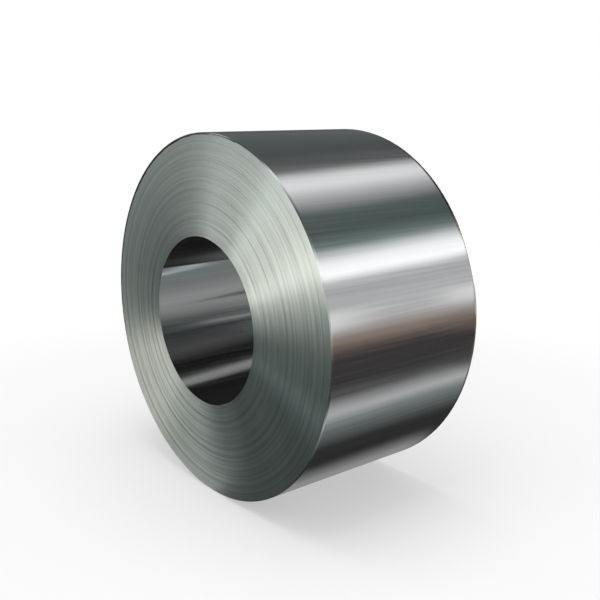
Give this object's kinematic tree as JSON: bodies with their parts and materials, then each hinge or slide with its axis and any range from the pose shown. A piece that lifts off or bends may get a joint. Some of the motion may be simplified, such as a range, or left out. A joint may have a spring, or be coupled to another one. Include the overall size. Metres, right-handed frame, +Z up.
{
  "type": "steel coil",
  "caption": "Coil of bright cold-rolled steel strip wound tight around an open bore and lying on its side, with its slit edges showing as rings on both ends.",
  "frame": {"origin": "on the axis of the bore, midway between the two ends of the coil", "axes": "+Y along the bore, from the near end, whose inner turns stand out, to the far end; +Z up, with the coil lying on its side; +X to the right as seen from the near end"},
  "size_m": [1.3267, 0.7068, 1.325],
  "materials": {
    "steel_strip": "bright cold-rolled"
  },
  "bodies": {
    "root": {"steel_coil": "steel_strip"}
  },
  "joints": []
}
